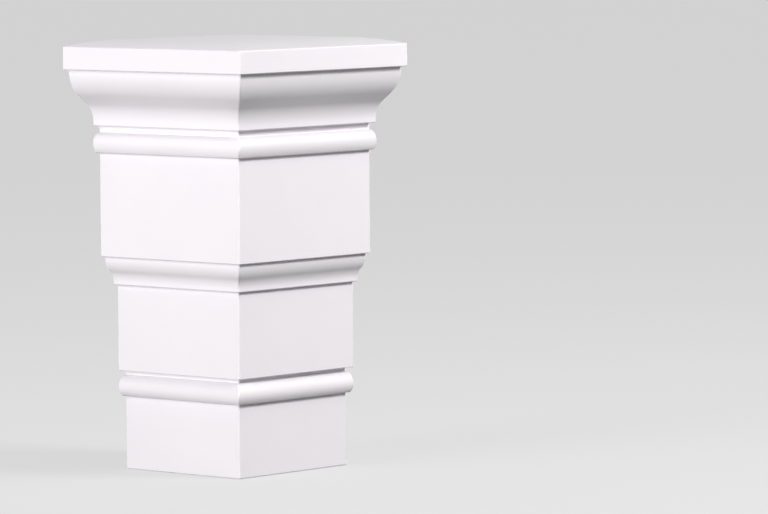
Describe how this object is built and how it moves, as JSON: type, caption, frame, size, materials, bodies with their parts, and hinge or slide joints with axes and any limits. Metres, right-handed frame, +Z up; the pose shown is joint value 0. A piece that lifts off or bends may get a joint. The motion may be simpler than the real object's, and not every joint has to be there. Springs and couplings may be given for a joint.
{
  "type": "cornice end cap",
  "caption": "Mitred left-hand end cap that closes a stepped facade cornice, with slab, ogees, beads and fascias on its front and return.",
  "frame": {"origin": "bottom corner where the joint face, the wall face and the underside meet", "axes": "+X is the outward normal of the joint face, +Y points into the wall, +Z is up; the front faces -Y and the return faces -X"},
  "size_m": [0.197, 0.193, 0.349],
  "materials": {
    "primed_foam": "satin white primer on rigid foam"
  },
  "bodies": {
    "root": {"end_cap": "primed_foam"}
  },
  "joints": []
}
